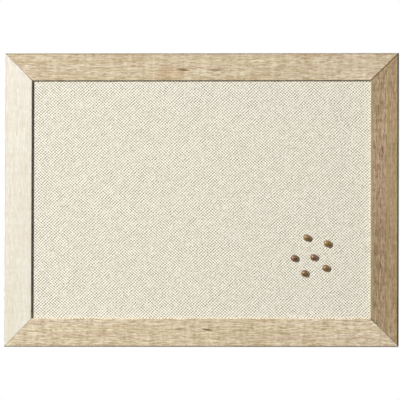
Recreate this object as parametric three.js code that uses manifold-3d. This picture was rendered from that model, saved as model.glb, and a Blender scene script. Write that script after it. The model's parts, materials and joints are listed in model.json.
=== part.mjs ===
// Framed fabric bulletin board with six push pins, in millimetres.
// The front faces -Y, +X is to the right and +Z is up.
// The origin is the middle of the wall plane that the bumpers touch.

import * as THREE from 'three';
import { mergeVertices } from 'three/addons/utils/BufferGeometryUtils.js';
import Module from 'manifold-3d';

const wasm = await Module();
wasm.setup();

// Driving dimensions of the whole board
const boardWidth = 600;
const boardHeight = 447;

// Clearances
const seatGap = 0.2;
const runningGap = 0.3;
const mitreGap = 0.3;
const slotGap = 0.15;
const panelPlay = 1;
const overrun = 5;

// Rail moulding, whose face slopes down from the opening to the outer edge
const railWidth = 42.5;
const railInnerDepth = 20;
const railOuterDepth = 7;
const outerArris = 3.5;
const innerArris = 1;
const backArris = 0.6;
const rebateWidth = 9;
const lipThickness = 5;

// Panel of fabric, softboard and hardboard
const fabricThickness = 0.8;
const hemWidth = 25;
const coreThickness = 8;
const backingThickness = 2.5;

// V-shaped nails across the mitres
const nailLeg = 5;
const nailThickness = 0.5;
const nailHeight = 7;
const nailSink = 0.3;
const nailHalfAngle = THREE.MathUtils.degToRad(50);
const nailShares = [0.35, 0.72];

// Framing points that hold the panel in the rebate
const pointLength = 15;
const pointGrip = 7;
const pointWidth = 6;
const pointThickness = 0.5;
const pointTip = 3;
const longSideShares = [-1 / 3, 0, 1 / 3];
const shortSideShares = [-1 / 3, 1 / 3];

// Hanger straps with their wire rings
const strapWidth = 10;
const strapThickness = 0.6;
const strapLength = 22;
const leafGap = 0.2;
const strapInset = 4;
const wireRadius = 0.9;
const loopGap = 0.25;
const ringSideGap = 0.4;
const ringCorner = 2;
const ringArm = 4.5;
const ringButt = 0.4;
const hangerHeightShare = 1 / 6;

// Hanger screws
const screwHeadRadius = 3;
const screwHeadHeight = 1.4;
const screwRadius = 1.4;
const screwLength = 9;
const screwTip = 2.5;
const recessWidth = 0.8;
const recessSpan = 3.2;
const recessDepth = 0.8;
const screwDomeShares = [[1, 0.4], [0.88, 0.8], [0.6, 1]];

// Wall bumpers
const bumperHeight = 4;
const bumperRadius = 5;
const bumperFaceRadius = 3.6;
const bumperSide = 1.6;
const bumperFromCorner = 35;

// Push pins
const pinHeadRadius = 5.4;
const pinHeadLevel = 8.2;
const pinDome = 7.6;
const pinFlareLevel = 3.6;
const pinWaistRadius = 4;
const pinWaistLevel = 2.7;
const pinShoulderRadius = 4.3;
const pinCollarRadius = 4.8;
const pinCollarThickness = 1.4;
const needleRadius = 0.55;
const needleReach = 10;
const needleEmbed = 6;
const needleTip = 2.5;

// Place of each pin as shares of half the opening, with its lean and the bearing of the lean in degrees
const pinShares = [
  { across: 0.655, up: -0.34, lean: 36, bearing: 21.5 },
  { across: 0.775, up: -0.394, lean: 37, bearing: 28 },
  { across: 0.688, up: -0.499, lean: 27, bearing: 19 },
  { across: 0.576, up: -0.508, lean: 31, bearing: 19.5 },
  { across: 0.762, up: -0.591, lean: 31, bearing: 21 },
  { across: 0.635, up: -0.636, lean: 30, bearing: 23.5 },
];

// Facet counts
const arrisSegments = 5;
const loopSegments = 6;
const roundSides = 20;
const wireSides = 5;
const needleSides = 10;
const ringSteps = 40;
const pinSides = 20;
const pinCurveSteps = 4;

// Derived plan sizes
const openingWidth = boardWidth - 2 * railWidth;
const openingHeight = boardHeight - 2 * railWidth;
const rebateWall = railWidth - rebateWidth;
const panelWidth = boardWidth - 2 * (rebateWall + panelPlay);
const panelHeight = boardHeight - 2 * (rebateWall + panelPlay);

// Derived depths, measured forward from the plane of the rails' backs
const lipBack = railInnerDepth - lipThickness;
const fabricFront = lipBack - seatGap;
const fabricInside = fabricFront - fabricThickness;
const coreFront = fabricInside - seatGap;
const coreRear = coreFront - coreThickness;
const hemFront = coreRear - seatGap;
const hemRear = hemFront - fabricThickness;
const backingFront = hemRear - seatGap;
const backingRear = backingFront - backingThickness;
const pointFront = backingRear - seatGap;
const pointRear = pointFront - pointThickness;

// Derived hanger sizes, measured back from the rail
const loopInside = wireRadius + loopGap;
const loopOutside = loopInside + strapThickness;
const loopLevel = seatGap + loopOutside;
const leafTop = 2 * strapThickness + leafGap;
const ringHalfWidth = strapWidth / 2 + ringSideGap + wireRadius;
const strapEndRadius = strapWidth / 2;
const screwOffset = strapLength - strapEndRadius;
const screwSeat = seatGap + leafTop + seatGap;
const hangerLine = rebateWall - strapInset;
const hangerHeight = boardHeight * hangerHeightShare;

const quarterTurn = Math.PI / 2;
const axisX = new THREE.Vector3(1, 0, 0);
const axisY = new THREE.Vector3(0, 1, 0);
const axisZ = new THREE.Vector3(0, 0, 1);

// Finishes
const woodFoil = () => new THREE.MeshStandardMaterial({ color: '#d0be9f', roughness: 0.55, metalness: 0 });
const linen = () => new THREE.MeshStandardMaterial({ color: '#e2deca', roughness: 0.95, metalness: 0 });
const softboard = () => new THREE.MeshStandardMaterial({ color: '#b89a6c', roughness: 0.95, metalness: 0 });
const hardboard = () => new THREE.MeshStandardMaterial({ color: '#7a5534', roughness: 0.8, metalness: 0 });
const steel = () => new THREE.MeshStandardMaterial({ color: '#b8babc', roughness: 0.3, metalness: 1 });
const rubber = () => new THREE.MeshStandardMaterial({ color: '#2b2a28', roughness: 0.85, metalness: 0 });
const pinWood = () => new THREE.MeshStandardMaterial({ color: '#80592f', roughness: 0.4, metalness: 0 });

// A closed geometry as a solid for cutting
function toSolid(geometry) {
  const plain = geometry.clone();
  plain.deleteAttribute('normal');
  plain.deleteAttribute('uv');
  const merged = mergeVertices(plain);
  const corners = merged.index.array;
  const triangles = [];
  for (let i = 0; i < corners.length; i += 3) {
    const [a, b, c] = corners.slice(i, i + 3);
    if (a !== b && b !== c && c !== a) triangles.push(a, b, c);
  }
  const vertProperties = Float32Array.from(merged.attributes.position.array);
  const triVerts = Uint32Array.from(triangles);
  return new wasm.Manifold(new wasm.Mesh({ numProp: 3, vertProperties, triVerts }));
}

// A cut solid as a geometry again
function toGeometry(solid) {
  const { vertProperties, triVerts } = solid.getMesh();
  const geometry = new THREE.BufferGeometry();
  geometry.setAttribute('position', new THREE.BufferAttribute(vertProperties, 3));
  geometry.setIndex(new THREE.BufferAttribute(triVerts, 1));
  const faceted = geometry.toNonIndexed();
  faceted.computeVertexNormals();
  return faceted;
}

// The body geometry less all the cutter geometries
function cutAway(body, cutters) {
  const solid = cutters.reduce((left, cutter) => left.subtract(toSolid(cutter)), toSolid(body));
  return toGeometry(solid);
}

// An outline through corners given as x, y and fillet radius
function roundedOutline(corners) {
  const shape = new THREE.Shape();
  corners.forEach(([x, y, radius], index) => {
    if (radius === 0) {
      if (index === 0) shape.moveTo(x, y);
      else shape.lineTo(x, y);
      return;
    }
    const here = new THREE.Vector2(x, y);
    const towards = ([otherX, otherY]) => new THREE.Vector2(otherX, otherY).sub(here).normalize();
    const back = towards(corners.at(index - 1));
    const ahead = towards(corners[(index + 1) % corners.length]);
    const half = Math.acos(back.dot(ahead)) / 2;
    const centre = back.clone().add(ahead).normalize().multiplyScalar(radius / Math.sin(half)).add(here);
    const start = back.multiplyScalar(radius / Math.tan(half)).add(here).sub(centre);
    const end = ahead.multiplyScalar(radius / Math.tan(half)).add(here).sub(centre);
    shape.absarc(centre.x, centre.y, radius, start.angle(), end.angle(), start.cross(end) < 0);
  });
  shape.closePath();
  return shape;
}

// A prism with its outline in X and Z, between two depths forward of the back plane
function plate(outline, rear, front, curveSegments = arrisSegments) {
  const depth = front - rear;
  const geometry = new THREE.ExtrudeGeometry(outline, { depth, bevelEnabled: false, curveSegments });
  geometry.translate(0, 0, rear);
  return geometry.applyMatrix4(new THREE.Matrix4().makeBasis(axisX, axisZ, axisY.clone().negate()));
}

// A rectangular slab centred on the board, between two depths
function slab(width, height, rear, front) {
  return new THREE.BoxGeometry(width, front - rear, height).translate(0, -(rear + front) / 2, 0);
}

// A round bar along Y between two depths
function roundBar(radius, rear, front, sides = roundSides) {
  const bar = new THREE.CylinderGeometry(radius, radius, front - rear, sides);
  return bar.translate(0, -(rear + front) / 2, 0);
}

function named(name, geometry, material) {
  const mesh = new THREE.Mesh(geometry, material);
  mesh.name = name;
  return mesh;
}

// Outline of a V-nail with its apex at the origin and its legs running down, thickened by a gap for its slot
function nailOutline(gap) {
  const half = nailThickness / 2 + gap;
  const leg = nailLeg + gap;
  const along = [leg * Math.sin(nailHalfAngle), -leg * Math.cos(nailHalfAngle)];
  const across = [half * Math.cos(nailHalfAngle), half * Math.sin(nailHalfAngle)];
  const apex = half / Math.sin(nailHalfAngle);
  return roundedOutline([
    [0, apex, 0],
    [-along[0] - across[0], along[1] + across[1], 0],
    [-along[0] + across[0], along[1] - across[1], 0],
    [0, -apex, 0],
    [along[0] - across[0], along[1] - across[1], 0],
    [along[0] + across[0], along[1] + across[1], 0],
  ]);
}

// A V-nail or its slot on the mitre at one end of a rail, at a share of the rail's flat back
function nailGeometry(length, end, share, gap, rear, front) {
  const inward = rebateWall * share;
  const geometry = plate(nailOutline(gap), rear, front);
  geometry.rotateY(-end * quarterTurn / 2);
  return geometry.translate(end * (length / 2 - inward), 0, inward);
}

// Outline of a framing point, with its tip in the wood at the rebate wall, or of its slot
function pointOutline(gap, reach) {
  const half = pointWidth / 2 + gap;
  const tip = rebateWall - pointGrip - gap;
  return roundedOutline([
    [0, tip, 0],
    [half, tip + pointTip, 0],
    [half, reach, 0],
    [-half, reach, 0],
    [-half, tip + pointTip, 0],
  ]);
}

// A mitred rail lying along X, with its outer edge at z 0 and its back at y 0
function railGeometry(length, pointPlaces, screwPlaces) {
  const profile = roundedOutline([
    [0, 0, backArris],
    [rebateWall, 0, backArris],
    [rebateWall, lipBack, 0],
    [railWidth, lipBack, 0],
    [railWidth, railInnerDepth, innerArris],
    [0, railOuterDepth, outerArris],
  ]);
  const bar = new THREE.ExtrudeGeometry(profile, {
    depth: length,
    bevelEnabled: false,
    curveSegments: arrisSegments,
  });
  bar.translate(0, 0, -length / 2);
  bar.applyMatrix4(new THREE.Matrix4().makeBasis(axisZ, axisY.clone().negate(), axisX));

  // Plan of the rail between its two mitres, run past both edges
  const halfAt = (inward) => length / 2 - inward - mitreGap * Math.SQRT1_2;
  const plan = roundedOutline([
    [-halfAt(-overrun), -overrun, 0],
    [halfAt(-overrun), -overrun, 0],
    [halfAt(railWidth + overrun), railWidth + overrun, 0],
    [-halfAt(railWidth + overrun), railWidth + overrun, 0],
  ]);
  const mitred = toSolid(bar).intersect(toSolid(plate(plan, -overrun, railInnerDepth + overrun)));

  const cutters = [];
  for (const end of [-1, 1]) {
    for (const share of nailShares) {
      cutters.push(nailGeometry(length, end, share, slotGap, -overrun, nailSink + nailHeight + seatGap));
    }
  }
  for (const place of pointPlaces) {
    const outline = pointOutline(slotGap, rebateWall + overrun);
    cutters.push(plate(outline, pointRear - slotGap, pointFront + slotGap).translate(place, 0, 0));
  }
  const pilotDepth = screwLength - screwSeat + seatGap;
  for (const place of screwPlaces) {
    const pilot = roundBar(screwRadius + seatGap, -overrun, pilotDepth, needleSides);
    cutters.push(pilot.translate(place, 0, hangerLine - screwOffset));
  }
  return toGeometry(cutters.reduce((left, cutter) => left.subtract(toSolid(cutter)), mitred));
}

// A strap folded round the ring's bar, lying outward along -Z from the bar on the rail's back
function strapGeometry() {
  const tangent = Math.SQRT1_2;
  const outside = [loopOutside * tangent, loopOutside * (1 + tangent)];
  const inside = [loopInside * tangent, loopOutside + loopInside * tangent];
  const leafBottom = leafTop - strapThickness;
  const profile = new THREE.Shape();
  profile.moveTo(strapLength, 0);
  profile.lineTo(0, 0);
  profile.absarc(0, loopOutside, loopOutside, -quarterTurn, quarterTurn / 2, true);
  profile.lineTo(outside[0] + outside[1] - leafTop, leafTop);
  profile.lineTo(strapLength, leafTop);
  profile.lineTo(strapLength, leafBottom);
  profile.lineTo(inside[0] + inside[1] - leafBottom, leafBottom);
  profile.absarc(0, loopOutside, loopInside, quarterTurn / 2, -quarterTurn, false);
  profile.lineTo(strapLength, strapThickness);
  profile.closePath();
  const folded = new THREE.ExtrudeGeometry(profile, {
    depth: strapWidth,
    bevelEnabled: false,
    curveSegments: loopSegments,
  });
  folded.translate(0, seatGap, -strapWidth / 2);
  folded.applyMatrix4(new THREE.Matrix4().makeBasis(axisZ.clone().negate(), axisY, axisX));

  const half = strapWidth / 2;
  const plan = roundedOutline([
    [-half, -strapLength, strapEndRadius - slotGap],
    [half, -strapLength, strapEndRadius - slotGap],
    [half, 2 * loopOutside, 0],
    [-half, 2 * loopOutside, 0],
  ]);
  const rounded = toSolid(folded).intersect(toSolid(plate(plan, -overrun, overrun, loopSegments)));
  const hole = roundBar(screwRadius + seatGap, -overrun, overrun).translate(0, 0, -screwOffset);
  return toGeometry(rounded.subtract(toSolid(hole)));
}

// A wire ring in the X and Z plane, its bar along X through the origin and its bow towards +Z
function ringGeometry() {
  const path = new THREE.Path();
  path.moveTo(ringButt / 2, 0);
  path.lineTo(ringHalfWidth - ringCorner, 0);
  path.absarc(ringHalfWidth - ringCorner, ringCorner, ringCorner, -quarterTurn, 0, false);
  path.lineTo(ringHalfWidth, ringArm);
  path.absarc(0, ringArm, ringHalfWidth, 0, Math.PI, false);
  path.lineTo(-ringHalfWidth, ringCorner);
  path.absarc(ringCorner - ringHalfWidth, ringCorner, ringCorner, Math.PI, Math.PI + quarterTurn, false);
  path.lineTo(-ringButt / 2, 0);
  const stations = path.getSpacedPoints(ringSteps).map(({ x, y }) => new THREE.Vector3(x, 0, y));
  const centreLine = new THREE.CatmullRomCurve3(stations, false, 'centripetal');
  const section = new THREE.Shape().absarc(0, 0, wireRadius, 0, 2 * Math.PI, false);
  return new THREE.ExtrudeGeometry(section, {
    steps: ringSteps,
    extrudePath: centreLine,
    curveSegments: wireSides,
  });
}

// A pan-head screw along Y, its head's seat at y 0 and its point forward, with a cross recess
function screwGeometry() {
  const profile = [
    new THREE.Vector2(0, -screwLength),
    new THREE.Vector2(screwRadius, screwTip - screwLength),
    new THREE.Vector2(screwRadius, 0),
    new THREE.Vector2(screwHeadRadius, 0),
    ...screwDomeShares.map(([out, up]) => new THREE.Vector2(out * screwHeadRadius, up * screwHeadHeight)),
    new THREE.Vector2(0, screwHeadHeight),
  ];
  const body = new THREE.LatheGeometry(profile, roundSides);
  const recess = [
    new THREE.BoxGeometry(recessSpan, 2 * recessDepth, recessWidth),
    new THREE.BoxGeometry(recessWidth, 2 * recessDepth, recessSpan),
  ];
  recess.forEach((bar) => bar.translate(0, screwHeadHeight, 0));
  return cutAway(body, recess);
}

// A domed bumper standing back along +Y, with a flat face for the wall
function bumperGeometry() {
  const profile = new THREE.Path();
  profile.moveTo(0, seatGap);
  profile.lineTo(bumperRadius, seatGap);
  profile.lineTo(bumperRadius, bumperSide);
  profile.quadraticCurveTo(bumperRadius, bumperHeight, bumperFaceRadius, bumperHeight);
  profile.lineTo(0, bumperHeight);
  return new THREE.LatheGeometry(profile.getPoints(arrisSegments), roundSides);
}

// The turned head of a pin about Y, its collar's underside at y 0, with a blind bore for the needle
function pinHeadGeometry() {
  const bore = needleRadius + seatGap;
  const boreTop = needleEmbed + seatGap;
  const edge = pinCollarThickness / 2;
  const profile = new THREE.Path();
  profile.moveTo(0, boreTop);
  profile.lineTo(bore, boreTop);
  profile.lineTo(bore, 0);
  profile.lineTo(pinCollarRadius - edge, 0);
  profile.absarc(pinCollarRadius - edge, edge, edge, -quarterTurn, quarterTurn, false);
  profile.lineTo(pinShoulderRadius, pinCollarThickness);
  profile.quadraticCurveTo(pinWaistRadius, pinCollarThickness, pinWaistRadius, pinWaistLevel);
  profile.quadraticCurveTo(pinHeadRadius, pinFlareLevel, pinHeadRadius, pinHeadLevel);
  profile.absellipse(0, pinHeadLevel, pinHeadRadius, pinDome, 0, quarterTurn, false);
  const points = profile.getPoints(pinCurveSteps);
  points.at(-1).x = 0;
  return new THREE.LatheGeometry(points, pinSides);
}

// A needle about Y, pointed at its far end below the collar
function needleGeometry() {
  const profile = [
    new THREE.Vector2(0, -needleReach),
    new THREE.Vector2(needleRadius, needleTip - needleReach),
    new THREE.Vector2(needleRadius, needleEmbed),
    new THREE.Vector2(0, needleEmbed),
  ];
  return new THREE.LatheGeometry(profile, needleSides);
}

// Place and turn of each pin, standing off the fabric by the clearance of its collar's lower edge
function pinFrames() {
  return pinShares.map(({ across, up, lean, bearing }) => {
    const tilt = THREE.MathUtils.degToRad(lean);
    const turn = THREE.MathUtils.degToRad(bearing);
    const aside = Math.sin(tilt);
    const axis = new THREE.Vector3(-aside * Math.cos(turn), -Math.cos(tilt), aside * Math.sin(turn));
    const entry = new THREE.Vector3(across * openingWidth / 2, -fabricFront, up * openingHeight / 2);
    const standOff = (pinCollarRadius * aside + runningGap) / Math.cos(tilt);
    return {
      quaternion: new THREE.Quaternion().setFromUnitVectors(axisY, axis),
      position: entry.addScaledVector(axis, standOff),
    };
  });
}

// The holes that the needles stand in, open to the front
function needleHoles() {
  return pinFrames().map(({ quaternion, position }) => {
    const hole = new THREE.CylinderGeometry(
      needleRadius + runningGap,
      needleRadius + runningGap,
      needleReach + overrun + runningGap,
      needleSides,
    );
    hole.translate(0, (overrun - needleReach - runningGap) / 2, 0);
    hole.applyQuaternion(quaternion);
    return hole.translate(position.x, position.y, position.z);
  });
}

// Fabric drawn over the core's front and edges, with its hem folded onto the back
function fabricGeometry() {
  const inner = 2 * fabricThickness;
  const body = slab(panelWidth, panelHeight, hemRear, fabricFront);
  const inside = slab(panelWidth - inner, panelHeight - inner, hemFront, fabricInside);
  const window = slab(panelWidth - 2 * hemWidth, panelHeight - 2 * hemWidth, hemRear - overrun, coreRear);
  return cutAway(body, [inside, window, ...needleHoles()]);
}

function coreGeometry() {
  const edge = 2 * (fabricThickness + seatGap);
  return cutAway(slab(panelWidth - edge, panelHeight - edge, coreRear, coreFront), needleHoles());
}

// Assembly, with all depths measured from the plane of the rails' backs
const board = new THREE.Group();
board.position.y = -bumperHeight;

const sides = [
  { side: 'bottom', corner: 'bottom_right', turn: 0 },
  { side: 'right', corner: 'top_right', turn: -quarterTurn },
  { side: 'top', corner: 'top_left', turn: 2 * quarterTurn },
  { side: 'left', corner: 'bottom_left', turn: quarterTurn },
];

for (const { side, corner, turn } of sides) {
  const upright = side === 'left' || side === 'right';
  const length = upright ? boardHeight : boardWidth;
  const reach = upright ? boardWidth / 2 : boardHeight / 2;
  const pointPlaces = upright
    ? shortSideShares.map((share) => share * openingHeight)
    : longSideShares.map((share) => share * openingWidth);
  const upwards = side === 'left' ? -1 : 1;
  const hangerPlaces = upright ? [upwards * hangerHeight] : [];

  const turned = new THREE.Group();
  turned.rotation.y = turn;
  const bench = new THREE.Group();
  bench.position.z = -reach;
  turned.add(bench);
  board.add(turned);

  bench.add(named(`rail_${side}`, railGeometry(length, pointPlaces, hangerPlaces), woodFoil()));

  nailShares.forEach((share, index) => {
    const nail = nailGeometry(length, 1, share, 0, nailSink, nailSink + nailHeight);
    bench.add(named(`v_nail_${corner}_${index + 1}`, nail, steel()));
  });

  pointPlaces.forEach((place, index) => {
    const outline = pointOutline(0, rebateWall - pointGrip + pointLength);
    const tongue = plate(outline, pointRear, pointFront);
    const point = named(`framing_point_${side}_${index + 1}`, tongue, steel());
    point.position.x = place;
    bench.add(point);
  });

  hangerPlaces.forEach((place) => {
    const strap = named(`hanger_strap_${side}`, strapGeometry(), steel());
    strap.position.set(place, 0, hangerLine);
    const ring = named(`hanger_ring_${side}`, ringGeometry(), steel());
    ring.position.set(place, loopLevel, hangerLine);
    const screw = named(`hanger_screw_${side}`, screwGeometry(), steel());
    screw.position.set(place, screwSeat, hangerLine - screwOffset);
    bench.add(strap, ring, screw);
  });

  if (upright) {
    for (const end of [-1, 1]) {
      const level = end * upwards > 0 ? 'top' : 'bottom';
      const bumper = named(`bumper_${level}_${side}`, bumperGeometry(), rubber());
      bumper.position.set(end * (length / 2 - bumperFromCorner), 0, rebateWall / 2);
      bench.add(bumper);
    }
  }
}

board.add(named('fabric_cover', fabricGeometry(), linen()));
board.add(named('softboard_core', coreGeometry(), softboard()));
board.add(named('backing_board', slab(panelWidth, panelHeight, backingRear, backingFront), hardboard()));

pinFrames().forEach(({ quaternion, position }, index) => {
  const pin = new THREE.Group();
  pin.quaternion.copy(quaternion);
  pin.position.copy(position);
  pin.add(named(`pin_head_${index + 1}`, pinHeadGeometry(), pinWood()));
  pin.add(named(`pin_needle_${index + 1}`, needleGeometry(), steel()));
  board.add(pin);
});

const group = new THREE.Group();
group.add(board);
export default group;
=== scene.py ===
# Looks of a wall-hung fabric pin board: woven panel, foil-wrapped mitred rails, turned pins and hangers.
# Metres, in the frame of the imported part: the front faces -Y, +X is to the right and +Z is up.

import functools
import json
import math

import bmesh
import bpy
from mathutils import Matrix, Vector

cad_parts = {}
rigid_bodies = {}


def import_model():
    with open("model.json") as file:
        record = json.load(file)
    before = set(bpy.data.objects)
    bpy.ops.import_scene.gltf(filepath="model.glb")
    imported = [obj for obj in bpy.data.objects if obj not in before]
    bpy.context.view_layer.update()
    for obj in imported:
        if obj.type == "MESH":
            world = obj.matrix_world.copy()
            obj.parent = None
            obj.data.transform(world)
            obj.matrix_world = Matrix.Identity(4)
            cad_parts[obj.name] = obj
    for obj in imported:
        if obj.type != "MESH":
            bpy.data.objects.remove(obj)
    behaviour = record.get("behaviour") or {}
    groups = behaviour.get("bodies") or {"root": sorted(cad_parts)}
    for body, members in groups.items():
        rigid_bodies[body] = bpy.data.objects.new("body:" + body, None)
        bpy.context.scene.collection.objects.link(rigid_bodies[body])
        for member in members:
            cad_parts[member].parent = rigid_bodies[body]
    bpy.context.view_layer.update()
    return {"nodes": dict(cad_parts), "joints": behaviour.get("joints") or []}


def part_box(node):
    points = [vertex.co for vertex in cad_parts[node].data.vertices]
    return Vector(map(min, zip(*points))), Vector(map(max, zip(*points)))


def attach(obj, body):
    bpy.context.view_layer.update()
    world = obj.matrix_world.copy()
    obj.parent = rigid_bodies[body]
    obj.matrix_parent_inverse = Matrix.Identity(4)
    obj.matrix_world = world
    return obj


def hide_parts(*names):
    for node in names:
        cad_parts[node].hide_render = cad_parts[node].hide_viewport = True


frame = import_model()
bpy.context.scene.view_settings.view_transform = "Standard"

MM = 0.001
PI = math.pi


# Sizes read from the part

rail_low, rail_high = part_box("rail_right")
HALF_WIDTH = rail_high.x
HALF_HEIGHT = rail_high.z
RAIL_BACK = rail_high.y
RAIL_FRONT = rail_low.y
RAIL_WIDTH = rail_high.x - rail_low.x
REBATE_WIDTH = 9 * MM
REBATE_WALL = RAIL_WIDTH - REBATE_WIDTH
fabric_low, fabric_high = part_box("fabric_cover")


# Camera, to the right of the board's middle and below it

VIEW_DISTANCE = 13.5
VIEW_RIGHT = math.radians(3)
VIEW_BELOW = math.radians(3)
VIEW_ROLL = math.radians(0.15)
VIEW_WIDTH = 607.8 * MM
SENSOR_WIDTH = 36
AIM = Vector((-1.95 * MM, -13 * MM, -0.4 * MM))


def add_camera():
    data = bpy.data.cameras.new("photo_camera")
    data.sensor_width = SENSOR_WIDTH
    data.lens = SENSOR_WIDTH * VIEW_DISTANCE / VIEW_WIDTH
    data.clip_start = 0.5
    data.clip_end = 60
    camera = bpy.data.objects.new("photo_camera", data)
    bpy.context.scene.collection.objects.link(camera)
    towards_camera = Vector((
        math.sin(VIEW_RIGHT) * math.cos(VIEW_BELOW),
        -math.cos(VIEW_RIGHT) * math.cos(VIEW_BELOW),
        -math.sin(VIEW_BELOW),
    ))
    facing = (-towards_camera).to_track_quat("-Z", "Y").to_matrix().to_4x4()
    place = Matrix.Translation(AIM + towards_camera * VIEW_DISTANCE)
    camera.matrix_world = place @ facing @ Matrix.Rotation(VIEW_ROLL, 4, "Z")
    bpy.context.scene.camera = camera


add_camera()


# Tools for materials

def linear(hex_colour):
    """An sRGB hex colour as linear red, green, blue and alpha."""
    parts = [int(hex_colour[i:i + 2], 16) / 255 for i in (1, 3, 5)]
    return (*(c / 12.92 if c <= 0.04045 else ((c + 0.055) / 1.055) ** 2.4 for c in parts), 1.0)


def add_node(tree, kind, output=None, settings=None, **inputs):
    """Adds a shader node and gives its named or first live output. An input is a value or an output."""
    node = tree.nodes.new("ShaderNode" + kind)
    for name, value in (settings or {}).items():
        setattr(node, name, value)
    for key, value in inputs.items():
        socket = next(s for s in node.inputs if s.identifier.replace(" ", "_") == key)
        if isinstance(value, bpy.types.NodeSocket):
            tree.links.new(value, socket)
        else:
            socket.default_value = value
    return next((s for s in node.outputs if s.enabled and output in (None, s.name)), None)


def new_material(name):
    """An empty node material and the function that adds its nodes."""
    material = bpy.data.materials.new(name)
    material.use_nodes = True
    material.node_tree.nodes.clear()
    return material, functools.partial(add_node, material.node_tree)


# Materials

def wood_grain_foil(name, pale, deep, brown, turn, reach, streaks, marks, cut_edge, edges):
    """Printed wood-grain foil with a satin lacquer, wrapped on fibreboard that shows raw at the back.

    The foil gives fine streaks along the rail, slow changes of tone and a few dark flecks. Where the
    mitre was sawn, the foil's edge shows as a thin brown line. Along the opening edge and the outer
    edge, a grey-brown band and a dark band are painted shade where the rounded edges turn from the light.

    The grain is printed in tones from pale to deep, with bands of brown as strong as streaks says. turn
    lays it along the rail, and reach is the way from the board's middle to the rail's outer edge.
    cut_edge is the share of the brown mitre line, and edges gives the shares of painted shade at the opening
    edge and at the outer edge.
    """
    material, add = new_material(name)
    place = add("TexCoord", output="Object")
    lengthwise = add("Mapping", Vector=place, Rotation=(0, turn, 0))

    # Pores 1.6 mm wide and 18 mm long, drawn as coarse as they need to show
    pore_scale = (1 / (18 * MM), 1 / (1.6 * MM), 1 / (1.6 * MM))
    pores = add("TexNoise", Vector=add("Mapping", Vector=lengthwise, Scale=pore_scale),
                Scale=1, Detail=2, Roughness=0.8)
    # Wavy figure of 6 mm by 2 mm, cross bands 7 mm wide and growth bands 6 mm wide and 160 mm long
    figure_scale = (1 / (6 * MM), 1 / (2 * MM), 1 / (2 * MM))
    figure = add("TexNoise", Vector=add("Mapping", Vector=lengthwise, Scale=figure_scale),
                 Scale=1, Detail=2, Roughness=0.6, Distortion=0.5)
    cross_scale = (1 / (7 * MM), 1 / (50 * MM), 1 / (50 * MM))
    cross = add("TexNoise", Vector=add("Mapping", Vector=lengthwise, Scale=cross_scale),
                Scale=1, Detail=2, Roughness=0.6)
    band_scale = (1 / (160 * MM), 1 / (6 * MM), 1 / (6 * MM))
    bands = add("TexNoise", Vector=add("Mapping", Vector=lengthwise, Scale=band_scale),
                Scale=1, Detail=2, Roughness=0.5, Distortion=0.4)
    tones = add("SeparateColor", output="Green", Color=add(
        "TexNoise", output="Color", Vector=add("Mapping", Vector=lengthwise, Scale=band_scale),
        Scale=0.8, Detail=1, Roughness=0.5))

    pore_share = add("MapRange", Value=pores, From_Min=0.44, From_Max=0.56)
    figure_share = add("MapRange", Value=figure, From_Min=0.38, From_Max=0.64)
    band_share = add("MapRange", Value=bands, From_Min=0.32, From_Max=0.68, To_Max=streaks)
    tone_share = add("MapRange", Value=tones, From_Min=0.4, From_Max=0.6)
    line_share = add("Mix", Factor_Float=0.4, A_Float=pore_share, B_Float=figure_share)
    line_share = add("Math", settings=dict(operation="MULTIPLY_ADD"), Value=cross, Value_001=0.8,
                     Value_002=line_share)
    line_share = add("MapRange", Value=line_share, From_Min=0.35, From_Max=1.45)
    colour = add("Mix", settings=dict(data_type="RGBA"), Factor_Float=line_share,
                 A_Color=linear(pale), B_Color=linear(deep))
    colour = add("Mix", settings=dict(data_type="RGBA"), Factor_Float=band_share,
                 A_Color=colour, B_Color=linear(brown))
    tone = add("Mix", settings=dict(data_type="RGBA"), Factor_Float=tone_share,
               A_Color=linear("#fff3f4"), B_Color=linear("#faf9e0"))
    colour = add("Mix", settings=dict(data_type="RGBA", blend_type="MULTIPLY"), Factor_Float=streaks,
                 A_Color=colour, B_Color=tone)

    # Flecks and long bands of the print, each near the line of the rail, with its slant in degrees
    for along, across, half_length, half_width, slant, strength, mark_colour in marks:
        dash = add("Mapping", settings=dict(vector_type="TEXTURE"), Vector=lengthwise,
                   Location=(along * MM, RAIL_FRONT, across * MM), Rotation=(0, math.radians(slant), 0),
                   Scale=(half_length * MM, 30 * MM, half_width * MM))
        distance = add("VectorMath", output="Value", settings=dict(operation="LENGTH"), Vector=dash)
        depth = add("MapRange", settings=dict(interpolation_type="SMOOTHSTEP"), Value=distance,
                    From_Min=0.35, From_Max=1, To_Min=strength, To_Max=0)
        colour = add("Mix", settings=dict(data_type="RGBA"), Factor_Float=depth,
                     A_Color=colour, B_Color=linear(mark_colour))

    # Painted shade: a grey-brown band along the opening edge and a dark band along the outer edge
    across = add("SeparateXYZ", output="Z", Vector=lengthwise)
    across = add("Math", settings=dict(operation="ABSOLUTE"), Value=across)
    inset = add("Math", settings=dict(operation="SUBTRACT"), Value=reach, Value_001=across)
    opening_edge_shade, outer_edge_shade = edges
    painted_opening_shade = add("MapRange", Value=inset, From_Min=RAIL_WIDTH - 5 * MM,
                        From_Max=RAIL_WIDTH - 3.4 * MM, To_Max=opening_edge_shade)
    colour = add("Mix", settings=dict(data_type="RGBA"), Factor_Float=painted_opening_shade,
                 A_Color=colour, B_Color=linear("#b2a883"))
    painted_outer_shade = add("MapRange", Value=inset, From_Min=1.5 * MM, From_Max=2.8 * MM,
                      To_Min=outer_edge_shade, To_Max=0)
    colour = add("Mix", settings=dict(data_type="RGBA"), Factor_Float=painted_outer_shade,
                 A_Color=colour, B_Color=linear("#4a4234"))

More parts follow.
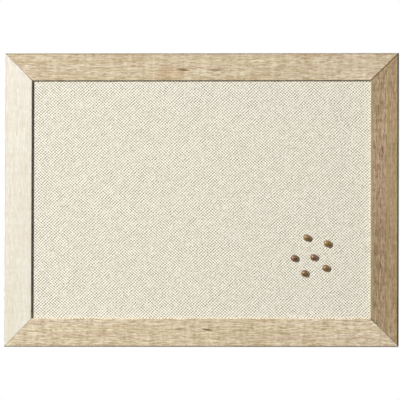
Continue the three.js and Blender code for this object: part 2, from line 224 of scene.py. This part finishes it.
    # Sawn foil edge along both mitres
    x_place = add("SeparateXYZ", output="X", Vector=place)
    z_place = add("SeparateXYZ", output="Z", Vector=place)
    x_size = add("Math", settings=dict(operation="ABSOLUTE"), Value=x_place)
    z_size = add("Math", settings=dict(operation="ABSOLUTE"), Value=z_place)
    step = add("Math", settings=dict(operation="SUBTRACT"), Value=x_size, Value_001=z_size)
    off_mitre = add("Math", settings=dict(operation="SUBTRACT"), Value=step,
                    Value_001=HALF_WIDTH - HALF_HEIGHT)
    off_mitre = add("Math", settings=dict(operation="ABSOLUTE"), Value=off_mitre)
    edge_share = add("MapRange", Value=off_mitre, From_Min=0.9 * MM, From_Max=1.7 * MM,
                     To_Min=cut_edge, To_Max=0)
    colour = add("Mix", settings=dict(data_type="RGBA"), Factor_Float=edge_share,
                 A_Color=colour, B_Color=linear("#6b4a2c"))

    # Raw fibreboard on the back and in the rebate
    fibres = add("TexNoise", Vector=place, Scale=1 / (1.5 * MM), Detail=4, Roughness=0.7)
    board = add("Mix", settings=dict(data_type="RGBA"), Factor_Float=fibres,
                A_Color=linear("#b08a5e"), B_Color=linear("#8f6c45"))
    y_place = add("SeparateXYZ", output="Y", Vector=place)
    on_back = add("MapRange", Value=y_place, From_Min=RAIL_BACK - 0.5 * MM, From_Max=RAIL_BACK - 0.1 * MM)
    in_rebate = add("MapRange", Value=across, From_Min=reach - REBATE_WALL + 0.3 * MM,
                    From_Max=reach - REBATE_WALL - 0.1 * MM)
    behind_lip = add("MapRange", Value=y_place, From_Min=fabric_low.y - 0.3 * MM, From_Max=fabric_low.y)
    rebate = add("Math", settings=dict(operation="MULTIPLY"), Value=in_rebate, Value_001=behind_lip)
    raw = add("Math", settings=dict(operation="MAXIMUM"), Value=on_back, Value_001=rebate)
    colour = add("Mix", settings=dict(data_type="RGBA"), Factor_Float=raw, A_Color=colour, B_Color=board)

    gloss = add("MapRange", Value=pores, From_Min=0.3, From_Max=0.7, To_Min=0.36, To_Max=0.46)
    gloss = add("Mix", Factor_Float=raw, A_Float=gloss, B_Float=0.85)
    relief = add("Bump", Strength=0.5, Distance=0.04 * MM, Height=pores)
    shader = add("BsdfPrincipled", Base_Color=colour, Roughness=gloss, Normal=relief, IOR=1.5,
                 Specular_IOR_Level=0.25)
    add("OutputMaterial", Surface=shader)
    return material


def natural_linen():
    """Coarse plain-weave linen in natural off-white, which gives a matt, dotted face of thread crossings."""
    material, add = new_material("natural_linen_plain_weave")
    place = add("TexCoord", output="Object")

    # The threads wander by a small share of their pitch
    drift = add("TexNoise", output="Color", Vector=place, Scale=1 / (16 * MM), Detail=2, Roughness=0.6)
    drift = add("VectorMath", settings=dict(operation="SUBTRACT"), Vector=drift, Vector_001=(0.5, 0.5, 0.5))
    drift = add("VectorMath", settings=dict(operation="SCALE"), Vector=drift, Scale=1.3 * MM)
    wandered = add("VectorMath", Vector=place, Vector_001=drift)

    # Warp threads 2.45 mm apart that lean, and weft threads 2.25 mm apart, as coarse as they need to show
    warp_pitch = 2.45 * MM
    weft_pitch = 2.25 * MM
    warp_lean = math.tan(math.radians(4.6))
    weft_lean = math.tan(math.radians(1))
    warp = add("VectorMath", output="Value", settings=dict(operation="DOT_PRODUCT"), Vector=wandered,
               Vector_001=(1 / warp_pitch, 0, warp_lean / warp_pitch))
    weft = add("VectorMath", output="Value", settings=dict(operation="DOT_PRODUCT"), Vector=wandered,
               Vector_001=(weft_lean / weft_pitch, 0, 1 / weft_pitch))

    # A plain weave is two diagonal waves, and where the threads lie unevenly one of them shows more
    falling = add("Math", settings=dict(operation="SUBTRACT"), Value=warp, Value_001=weft)
    rising = add("Math", settings=dict(operation="ADD"), Value=warp, Value_001=weft)
    patches = add("TexNoise", Vector=place, Scale=1 / (8 * MM), Detail=1, Roughness=0.5)
    height = 0
    for diagonal, least, most in [(falling, 0.3, 0.7), (rising, -0.7, -0.3)]:
        angle = add("Math", settings=dict(operation="MULTIPLY"), Value=diagonal, Value_001=PI)
        wave = add("Math", settings=dict(operation="COSINE"), Value=angle)
        weight = add("MapRange", Value=patches, From_Min=0.3, From_Max=0.7, To_Min=least, To_Max=most)
        height = add("Math", settings=dict(operation="MULTIPLY_ADD"), Value=wave, Value_001=weight,
                     Value_002=height)

    # Slubs make single threads thicker or paler for some way
    slub_across = add("Mapping", Vector=place, Scale=(1 / (22 * MM), 1, 1 / (2.2 * MM)))
    slub_up = add("Mapping", Vector=place, Scale=(1 / (2.4 * MM), 1, 1 / (22 * MM)))
    slubs_weft = add("TexNoise", Vector=slub_across, Scale=1, Detail=2, Roughness=0.6)
    slubs_warp = add("TexNoise", Vector=slub_up, Scale=1, Detail=2, Roughness=0.6)
    slubs = add("Math", settings=dict(operation="ADD"), Value=slubs_weft, Value_001=slubs_warp)
    slubs = add("MapRange", settings=dict(clamp=False), Value=slubs, From_Min=0.75, From_Max=1.25,
                To_Min=-0.15, To_Max=0.15)

    # Tight and loose patches, and crossings that stand out more or less than their neighbours
    tightness = add("TexNoise", Vector=place, Scale=1 / (9 * MM), Detail=2, Roughness=0.6)
    tightness = add("MapRange", Value=tightness, From_Min=0.3, From_Max=0.7, To_Min=0.95, To_Max=1.25)
    crossings = add("TexNoise", Vector=place, Scale=1 / (1.8 * MM), Detail=1, Roughness=0.5)
    crossings = add("MapRange", settings=dict(clamp=False), Value=crossings, From_Min=0.3, From_Max=0.7,
                    To_Min=0.1, To_Max=1.9)
    relative_height = add("Math", settings=dict(operation="MULTIPLY"), Value=tightness, Value_001=crossings)
    height = add("Math", settings=dict(operation="MULTIPLY_ADD"), Value=height, Value_001=relative_height,
                 Value_002=slubs)

    # The colour follows the weave's height, so the low places between the crossings are darker: partly the
    # threads' own pattern, partly painted shade between them.
    share = add("MapRange", Value=height, From_Min=-1.3, From_Max=0.75)
    colour = add("Mix", settings=dict(data_type="RGBA"), Factor_Float=share,
                 A_Color=linear("#6f6650"), B_Color=linear("#fffbeb"))
    relief = add("Bump", Strength=0.6, Distance=0.12 * MM, Height=height)
    shader = add("BsdfPrincipled", Base_Color=colour, Roughness=0.95, Normal=relief,
                 Specular_IOR_Level=0.15, Sheen_Weight=0.05, Sheen_Roughness=0.5)
    add("OutputMaterial", Surface=shader)
    return material


def pressed_fibre(name, pale, deep, grit, roughness):
    """Pressed wood fibre, such as softboard or hardboard, which gives a fine mottle of fibre bundles."""
    material, add = new_material(name)
    place = add("TexCoord", output="Object")
    mottle = add("TexNoise", Vector=place, Scale=1 / grit, Detail=5, Roughness=0.7)
    clouds = add("TexNoise", Vector=place, Scale=1 / (60 * MM), Detail=2, Roughness=0.5)
    both = add("Math", settings=dict(operation="MULTIPLY_ADD"), Value=clouds, Value_001=0.2,
               Value_002=mottle)
    share = add("MapRange", Value=both, From_Min=0.4, From_Max=0.8)
    colour = add("Mix", settings=dict(data_type="RGBA"), Factor_Float=share,
                 A_Color=linear(pale), B_Color=linear(deep))
    relief = add("Bump", Strength=0.4, Distance=0.1 * MM, Height=mottle)
    shader = add("BsdfPrincipled", Base_Color=colour, Roughness=roughness, Normal=relief)
    add("OutputMaterial", Surface=shader)
    return material


def bright_steel(name, tone, roughness, grain):
    """Drawn or plated steel, which gives a bright metal with faint marks from handling."""
    material, add = new_material(name)
    place = add("TexCoord", output="Object")
    marks = add("TexNoise", Vector=place, Scale=1 / grain, Detail=3, Roughness=0.6)
    colour = add("Mix", settings=dict(data_type="RGBA"), Factor_Float=marks,
                 A_Color=linear(tone), B_Color=linear("#8f9192"))
    gloss = add("MapRange", Value=marks, From_Min=0.3, From_Max=0.7,
                To_Min=roughness, To_Max=roughness + 0.15)
    shader = add("BsdfPrincipled", Base_Color=colour, Roughness=gloss, Metallic=1)
    add("OutputMaterial", Surface=shader)
    return material


def soft_rubber():
    """Moulded black rubber, which gives a dull dark surface with a little dust."""
    material, add = new_material("moulded_black_rubber")
    place = add("TexCoord", output="Object")
    dust = add("TexNoise", Vector=place, Scale=1 / (1.2 * MM), Detail=4, Roughness=0.7)
    share = add("MapRange", Value=dust, From_Min=0.45, From_Max=0.75)
    colour = add("Mix", settings=dict(data_type="RGBA"), Factor_Float=share,
                 A_Color=linear("#252423"), B_Color=linear("#4a4743"))
    shader = add("BsdfPrincipled", Base_Color=colour, Roughness=0.75)
    add("OutputMaterial", Surface=shader)
    return material


def lacquered_pin_wood(name, pale, deep):
    """Turned hardwood with clear gloss lacquer, which gives grain along the pin under a sharp highlight."""
    material, add = new_material(name)
    place = add("TexCoord", output="Object")
    turned = add("Mapping", Vector=place, Rotation=(math.radians(10), 0, math.radians(-26)))
    grain_scale = (1 / (0.9 * MM), 1 / (7 * MM), 1 / (0.9 * MM))
    grain = add("TexNoise", Vector=add("Mapping", Vector=turned, Scale=grain_scale),
                Scale=1, Detail=3, Roughness=0.6)
    share = add("MapRange", Value=grain, From_Min=0.35, From_Max=0.65)
    colour = add("Mix", settings=dict(data_type="RGBA"), Factor_Float=share,
                 A_Color=linear(pale), B_Color=linear(deep))
    shader = add("BsdfPrincipled", Base_Color=colour, Roughness=0.25, Specular_IOR_Level=0.5,
                 Coat_Weight=0.5, Coat_Roughness=0.12)
    add("OutputMaterial", Surface=shader)
    return material


QUARTER = math.radians(90)
FLECK = "#735b3a"
RED_LINE = "#b98f6c"
GOLD_BAND = "#bcaa6e"
ROSE_BAND = "#caa695"
# The rails' tones are partly print and partly painted light: the left rail's pale, flat print is a painted
# sheen, the bottom rail's lighter print is painted light that lifts the rail facing down, and the right
# rail's darker deep tone is painted shade.
foil_top = wood_grain_foil(
    "oak_foil_top", "#e0d6bf", "#9e8866", "#b09875", 0, HALF_HEIGHT, 0.35,
    marks=[
        (-50, 191.5, 36, 8, 0, 0.3, RED_LINE),
        (-56, 196.4, 34, 1.6, -1, 0.45, "#a9805c"),
        (-28, 197.6, 13, 2.6, 8, 0.95, FLECK),
        (20, 197, 18, 2.2, 2, 0.7, FLECK),
    ],
    cut_edge=0.75, edges=(0, 0.3))
foil_bottom = wood_grain_foil(
    "oak_foil_bottom", "#fff3db", "#b39c77", "#c2a882", 0, HALF_HEIGHT, 0.35,
    marks=[
        (10, -198, 12, 2.3, 9, 0.9, FLECK),
        (-33, -197, 10, 1.6, -3, 0.6, FLECK),
    ],
    cut_edge=0.1, edges=(0, 0))
foil_left = wood_grain_foil(
    "oak_foil_left", "#cfcdc4", "#beb6a5", "#beb29f", QUARTER, HALF_WIDTH, 0.3,
    marks=[
        (140, 275, 5, 1.2, 0, 0.3, FLECK),
        (101, 281, 5, 1.2, 0, 0.3, FLECK),
    ],
    cut_edge=0.05, edges=(0, 0.05))
foil_right = wood_grain_foil(
    "oak_foil_right", "#f0d4b4", "#7f654a", "#a18961", QUARTER, HALF_WIDTH, 0.45,
    marks=[
        (0, -296, 500, 4, 0, 0.6, GOLD_BAND),
        (0, -290, 400, 3.6, 0, 0.5, ROSE_BAND),
        (20, -284, 400, 4, 0.2, 0.6, GOLD_BAND),
        (10, -278.5, 200, 3.6, 0, 0.35, ROSE_BAND),
        (-120, -279, 140, 60, 0, 0.12, FLECK),
        (-61, -280, 6, 1.2, 0, 0.8, FLECK),
        (-100, -273, 6, 1.5, 0, 0.8, FLECK),
    ],
    cut_edge=0.8, edges=(0.7, 0.9))
linen = natural_linen()
softboard = pressed_fibre("pressed_softboard", "#c4a67a", "#a98a5c", 2.5 * MM, 0.95)
hardboard = pressed_fibre("smooth_hardboard", "#8b6440", "#6c4a2d", 2 * MM, 0.6)
strip_steel = bright_steel("bright_strip_steel", "#b9babb", 0.32, 3 * MM)
zinc_steel = bright_steel("zinc_plated_steel", "#cfd0d0", 0.25, 2 * MM)
needle_steel = bright_steel("polished_needle_steel", "#d8d8d9", 0.15, 4 * MM)
rubber = soft_rubber()
golden_wood = lacquered_pin_wood("lacquered_golden_wood", "#916e36", "#5f4621")
red_wood = lacquered_pin_wood("lacquered_red_brown_wood", "#845a32", "#53371f")
mid_wood = lacquered_pin_wood("lacquered_mid_brown_wood", "#8c662f", "#5d411d")


# Finishes of the carried-over nodes

def finish_node(name, material):
    mesh = frame["nodes"][name].data
    mesh.materials.clear()
    mesh.materials.append(material)


FINISHES = {
    "rail_top": foil_top,
    "rail_bottom": foil_bottom,
    "rail_left": foil_left,
    "rail_right": foil_right,
    "softboard_core": softboard,
    "backing_board": hardboard,
    "v_nail": strip_steel,
    "framing_point": strip_steel,
    "hanger": zinc_steel,
    "bumper": rubber,
    "pin_needle": needle_steel,
}

for node_name in frame["nodes"]:
    for start, finish in FINISHES.items():
        if node_name.startswith(start):
            finish_node(node_name, finish)


def add_piece(name, bm, material, body, slot, *replaced):
    """A finished mesh as a piece that rides on a body."""
    mesh = bpy.data.meshes.new(name)
    bm.to_mesh(mesh)
    bm.free()
    mesh.materials.append(material)
    piece = bpy.data.objects.new(name, mesh)
    bpy.context.scene.collection.objects.link(piece)
    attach(piece, body)
    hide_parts(*replaced)
    return piece


# Push pins

HEAD_RADIUS = 5.4 * MM
HEAD_LEVEL = 8.2 * MM
DOME_HEIGHT = 7.6 * MM
FLARE_LEVEL = 3.6 * MM
WAIST_RADIUS = 4 * MM
WAIST_LEVEL = 2.7 * MM
SHOULDER_RADIUS = 4.3 * MM
COLLAR_RADIUS = 4.8 * MM
COLLAR_THICKNESS = 1.4 * MM
BORE_RADIUS = 0.75 * MM
BORE_DEPTH = 6.2 * MM
PIN_NUMBERS = range(1, 7)
CURVE_STEPS = 8
TURN_STEPS = 40


def pin_axis(number):
    joint = next(j for j in frame["joints"] if j["name"] == f"pin_{number}_pull")
    return Vector(joint["axis"]).normalized()


def pin_foot(number):
    """The middle of the underside of a pin's collar, from its node in the part."""
    places = [v.co for v in frame["nodes"][f"pin_head_{number}"].data.vertices]
    middle = sum(places, Vector()) / len(places)
    lowest = min((place - middle).dot(pin_axis(number)) for place in places)
    return middle + pin_axis(number) * lowest


def pin_outline():
    """Half section of a pin head, from the bore over the collar and waist to the top of the dome."""
    steps = [i / CURVE_STEPS for i in range(CURVE_STEPS + 1)]
    edge = COLLAR_THICKNESS / 2
    points = [(0, BORE_DEPTH), (BORE_RADIUS, BORE_DEPTH), (BORE_RADIUS, 0)]
    for t in steps:
        points.append((COLLAR_RADIUS - edge + edge * math.sin(PI * t), edge - edge * math.cos(PI * t)))
    for t in steps:
        drop = (1 - t) ** 2
        points.append((WAIST_RADIUS + (SHOULDER_RADIUS - WAIST_RADIUS) * drop,
                       COLLAR_THICKNESS + (WAIST_LEVEL - COLLAR_THICKNESS) * t))
    for t in steps[1:]:
        curve = [Vector(p) for p in ((WAIST_RADIUS, WAIST_LEVEL), (HEAD_RADIUS, FLARE_LEVEL),
                                     (HEAD_RADIUS, HEAD_LEVEL))]
        points.append(curve[0].lerp(curve[1], t).lerp(curve[1].lerp(curve[2], t), t))
    for t in steps[1:]:
        points.append((HEAD_RADIUS * math.cos(PI * t / 2), HEAD_LEVEL + DOME_HEIGHT * math.sin(PI * t / 2)))
    points[-1] = (0, HEAD_LEVEL + DOME_HEIGHT)
    return points


def add_pin_head(number, material, slot):
    bm = bmesh.new()
    corners = [bm.verts.new((radius, 0, level)) for radius, level in pin_outline()]
    edges = [bm.edges.new(pair) for pair in zip(corners, corners[1:])]
    bmesh.ops.spin(bm, geom=corners + edges, cent=(0, 0, 0), axis=(0, 0, 1), angle=2 * PI,
                   steps=TURN_STEPS, use_merge=True)
    bmesh.ops.remove_doubles(bm, verts=bm.verts, dist=0.001 * MM)
    bmesh.ops.recalc_face_normals(bm, faces=bm.faces)
    turn = Vector((0, 0, 1)).rotation_difference(pin_axis(number)).to_matrix().to_4x4()
    bmesh.ops.transform(bm, matrix=Matrix.Translation(pin_foot(number)) @ turn, verts=bm.verts)
    for face in bm.faces:
        face.smooth = True
    return add_piece(f"turned_pin_head_{number}", bm, material, f"pin_{number}", slot, f"pin_head_{number}")


for pin, wood, wood_slot in [
    (1, golden_wood, "pin_wood_golden"),
    (2, golden_wood, "pin_wood_golden"),
    (3, red_wood, "pin_wood_red"),
    (4, red_wood, "pin_wood_red"),
    (5, golden_wood, "pin_wood_golden"),
    (6, mid_wood, "pin_wood_mid"),
]:
    add_pin_head(pin, wood, wood_slot)


# Linen cover, drawn over the softboard and folded behind it

CLOTH_THICKNESS = 0.8 * MM
HEM_WIDTH = 25 * MM
HOLE_RADIUS = 1.0 * MM
DIMPLE_RADIUS = 2.4 * MM
DIMPLE_DEPTH = 0.3 * MM
FOLD_ROUNDING = 0.9 * MM
FIRST_INSET = 0.5 * MM
FACES_ACROSS = 90
FACES_UP = 64


def needle_entry(number):
    """Where a pin's needle goes through the middle of the cloth's thickness."""
    axis = pin_axis(number)
    foot = pin_foot(number)
    return foot + axis * ((fabric_low.y + CLOTH_THICKNESS / 2 - foot.y) / axis.y)


def open_needle_hole(bm, number):
    """Joins the four faces nearest a needle and sinks two rings in them, down to a small hole."""
    entry = needle_entry(number)
    nearest = min(bm.verts, key=lambda v: (v.co - entry).length)
    face = bmesh.ops.dissolve_faces(bm, faces=list(nearest.link_faces))["region"][0]
    for radius, depth in [(DIMPLE_RADIUS, 0), (HOLE_RADIUS, DIMPLE_DEPTH)]:
        bmesh.ops.inset_individual(bm, faces=[face], thickness=FIRST_INSET)
        middle = Vector((entry.x, fabric_low.y + depth, entry.z))
        for vert in face.verts:
            spoke = Vector((vert.co.x - entry.x, 0, vert.co.z - entry.z)).normalized()
            vert.co = middle + spoke * radius
    bmesh.ops.delete(bm, geom=[face], context="FACES")


def add_linen_cover():
    half_width = (fabric_high.x - fabric_low.x) / 2
    half_height = (fabric_high.z - fabric_low.z) / 2
    place = Matrix.Translation((0, fabric_low.y, 0)) @ Matrix.Rotation(QUARTER, 4, "X")
    size = Matrix.Diagonal((half_width, half_height, 1, 1))
    bm = bmesh.new()
    bmesh.ops.create_grid(bm, x_segments=FACES_ACROSS, y_segments=FACES_UP, size=1, matrix=place @ size)

    # Down over the edge of the core, then in behind it
    rim = [e for e in bm.edges if e.is_boundary]
    fold = bmesh.ops.extrude_edge_only(bm, edges=rim)["geom"]
    verts = [g for g in fold if isinstance(g, bmesh.types.BMVert)]
    bmesh.ops.translate(bm, verts=verts, vec=(0, fabric_high.y - fabric_low.y, 0))
    rim = [e for e in bm.edges if e.is_boundary]
    fold = bmesh.ops.extrude_edge_only(bm, edges=rim)["geom"]
    verts = [g for g in fold if isinstance(g, bmesh.types.BMVert)]
    draw_in = ((half_width - HEM_WIDTH) / half_width, 1, (half_height - HEM_WIDTH) / half_height)
    bmesh.ops.scale(bm, verts=verts, vec=draw_in)
    sharp = [e for e in bm.edges if len(e.link_faces) == 2 and e.calc_face_angle() > 1]
    bmesh.ops.bevel(bm, geom=sharp, offset=FOLD_ROUNDING, affect="EDGES", segments=3, profile=0.5,
                    material=-1)

    for number in PIN_NUMBERS:
        open_needle_hole(bm, number)
    bmesh.ops.recalc_face_normals(bm, faces=bm.faces)
    front = min(bm.faces, key=lambda f: f.calc_center_median().y)
    if front.normal.y > 0:
        bmesh.ops.reverse_faces(bm, faces=bm.faces)
    for face in bm.faces:
        face.smooth = True
    cover = add_piece("linen_cover", bm, linen, "board", "linen", "fabric_cover")
    wall = cover.modifiers.new("cloth_thickness", "SOLIDIFY")
    wall.thickness = CLOTH_THICKNESS
    wall.offset = -1


add_linen_cover()


# Floor, world and lamps

FLOOR_LEVEL = -1.25
FLOOR_HALF_WIDTH = 12
KEY_DIRECTION = Vector((-0.61, -0.735, 0.3))
KEY_DISTANCE = 8


def add_floor():
    """Pale matt studio floor well below the wall-hung board."""
    material, add = new_material("pale_studio_floor")
    seen = add("LightPath", output="Is Camera Ray")
    colour = add("Mix", settings=dict(data_type="RGBA"), Factor_Float=seen,
                 A_Color=linear("#6e6e6d"), B_Color=linear("#f4f4f3"))
    glow = add("MapRange", Value=seen, From_Min=0, From_Max=1, To_Min=0, To_Max=0.75)
    shader = add("BsdfPrincipled", Base_Color=colour, Roughness=0.9, Specular_IOR_Level=0.1,
                 Emission_Color=(1, 1, 1, 1), Emission_Strength=glow)
    add("OutputMaterial", Surface=shader)
    bm = bmesh.new()
    bmesh.ops.create_grid(bm, x_segments=1, y_segments=1, size=FLOOR_HALF_WIDTH,
                          matrix=Matrix.Translation((0, 0, FLOOR_LEVEL)))
    mesh = bpy.data.meshes.new("studio_floor")
    bm.to_mesh(mesh)
    bm.free()
    mesh.materials.append(material)
    floor = bpy.data.objects.new("studio_floor", mesh)
    bpy.context.scene.collection.objects.link(floor)


def light_world(fill):
    """White to the camera and in reflections, and a weak even fill for the rest."""
    world = bpy.data.worlds.new("studio_world")
    world.use_nodes = True
    tree = world.node_tree
    tree.nodes.clear()
    add = functools.partial(add_node, tree)
    seen = add("LightPath", output="Is Camera Ray")
    mirrored = add("LightPath", output="Is Glossy Ray")
    passed = add("LightPath", output="Is Transmission Ray")
    plain = add("Math", settings=dict(operation="MAXIMUM"), Value=seen, Value_001=mirrored)
    plain = add("Math", settings=dict(operation="MAXIMUM"), Value=plain, Value_001=passed)
    strength = add("MapRange", Value=plain, From_Min=0, From_Max=1, To_Min=fill, To_Max=1)
    add("OutputWorld", Surface=add("Background", Color=(1, 1, 1, 1), Strength=strength))
    bpy.context.scene.world = world


def add_softbox(name, place, power, width):
    """A square white softbox, its power in watts, that faces the middle of the board."""
    data = bpy.data.lights.new(name, "AREA")
    data.shape = "SQUARE"
    data.size = width
    data.energy = power
    lamp = bpy.data.objects.new(name, data)
    bpy.context.scene.collection.objects.link(lamp)
    facing = (-Vector(place)).to_track_quat("-Z", "Y").to_matrix().to_4x4()
    lamp.matrix_world = Matrix.Translation(place) @ facing
    return lamp


def pin_collection(name, state):
    """All the pieces of the pins, taken in or left out where a lamp refers to the collection."""
    pins = bpy.data.collections.new(name)
    for piece in bpy.context.scene.objects:
        if piece.type == "MESH" and "pin_" in piece.name:
            pins.objects.link(piece)
    for entry in pins.collection_objects:
        entry.light_linking.link_state = state
    return pins


add_floor()
light_world(fill=0.04)

# A small softbox at the upper left for the frame and the fabric, whose light and shadow pass the pins by
key = add_softbox("key_softbox", KEY_DIRECTION * KEY_DISTANCE, 865, 1.1)
key.light_linking.blocker_collection = pin_collection("pins_without_key_shadow", "EXCLUDE")
key.light_linking.receiver_collection = pin_collection("pins_without_key_light", "EXCLUDE")

# A wide softbox for the pins alone, which gives each head its broad soft highlight
pin_softbox = add_softbox("pin_softbox", (-1.5, -3.5, 1.1), 305, 3.2)
pin_softbox.light_linking.receiver_collection = pin_collection("pins_lit_by_softbox", "INCLUDE")

# Two lamps behind, for the views of the back
add_softbox("rear_softbox", (2.5, 4.5, 2.5), 220, 2.0)
add_softbox("rear_fill", (-3.5, 4.0, 1.0), 120, 2.0)
